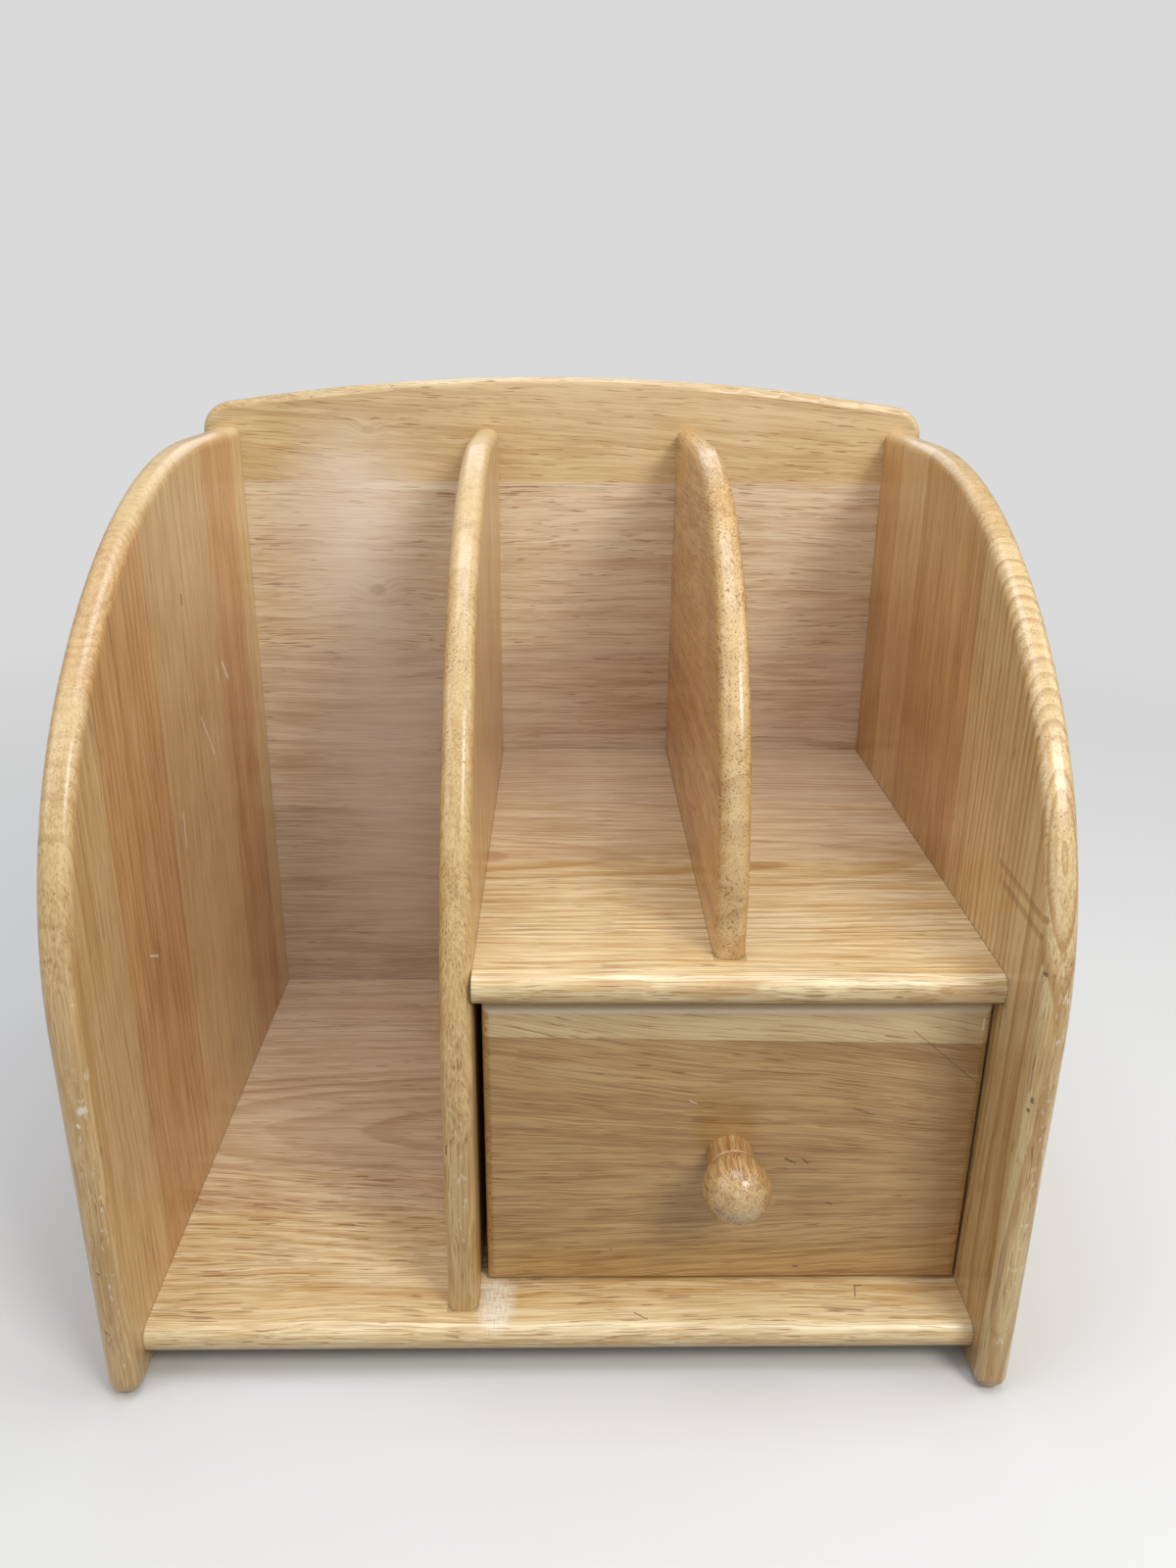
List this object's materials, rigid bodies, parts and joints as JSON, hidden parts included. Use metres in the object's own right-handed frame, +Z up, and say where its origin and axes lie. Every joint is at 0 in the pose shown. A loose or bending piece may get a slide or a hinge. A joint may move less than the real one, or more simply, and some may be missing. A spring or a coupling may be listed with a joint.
{
  "type": "envelope sorter with drawer",
  "caption": "Solid-wood desktop sorter: D-shaped sides, arched back panel, a tall file bay, upright letter bays over a shelf and a sliding drawer with a turned knob.",
  "frame": {"origin": "on the floor, at the middle of the sorter's width and depth", "axes": "+Z up, +X to the right as seen from the front, -Y out of the front, the way the drawer opens"},
  "size_m": [0.362, 0.292, 0.3632],
  "materials": {
    "rubberwood": "clear satin lacquer over pale golden rubberwood, edge-glued lamellas",
    "plywood": "sanded thin plywood, unlacquered",
    "dowel_wood": "plain beech dowel rod",
    "zinc_steel": "bright zinc plating"
  },
  "bodies": {
    "carcass": {"left_side": "rubberwood", "right_side": "rubberwood", "base_shelf": "rubberwood", "drawer_shelf": "rubberwood", "centre_divider": "rubberwood", "letter_divider": "rubberwood", "back_panel": "rubberwood", "base_shelf_dowels_left": "dowel_wood", "base_shelf_dowels_right": "dowel_wood", "drawer_shelf_dowels_left": "dowel_wood", "drawer_shelf_dowels_right": "dowel_wood", "centre_divider_screws": "zinc_steel", "letter_divider_screws": "zinc_steel", "back_panel_screws": "zinc_steel"},
    "drawer": {"drawer_front": "rubberwood", "drawer_left_side": "rubberwood", "drawer_right_side": "rubberwood", "drawer_back": "rubberwood", "drawer_bottom": "plywood", "drawer_front_dowels_left": "dowel_wood", "drawer_front_dowels_right": "dowel_wood", "drawer_back_pins_left": "zinc_steel", "drawer_back_pins_right": "zinc_steel", "drawer_knob": "rubberwood", "knob_screw": "zinc_steel"}
  },
  "joints": [
    {"name": "drawer_slide", "type": "slide", "parent": "carcass", "child": "drawer", "axis": [0, -1, 0], "range_m": [0, 0.19]}
  ]
}
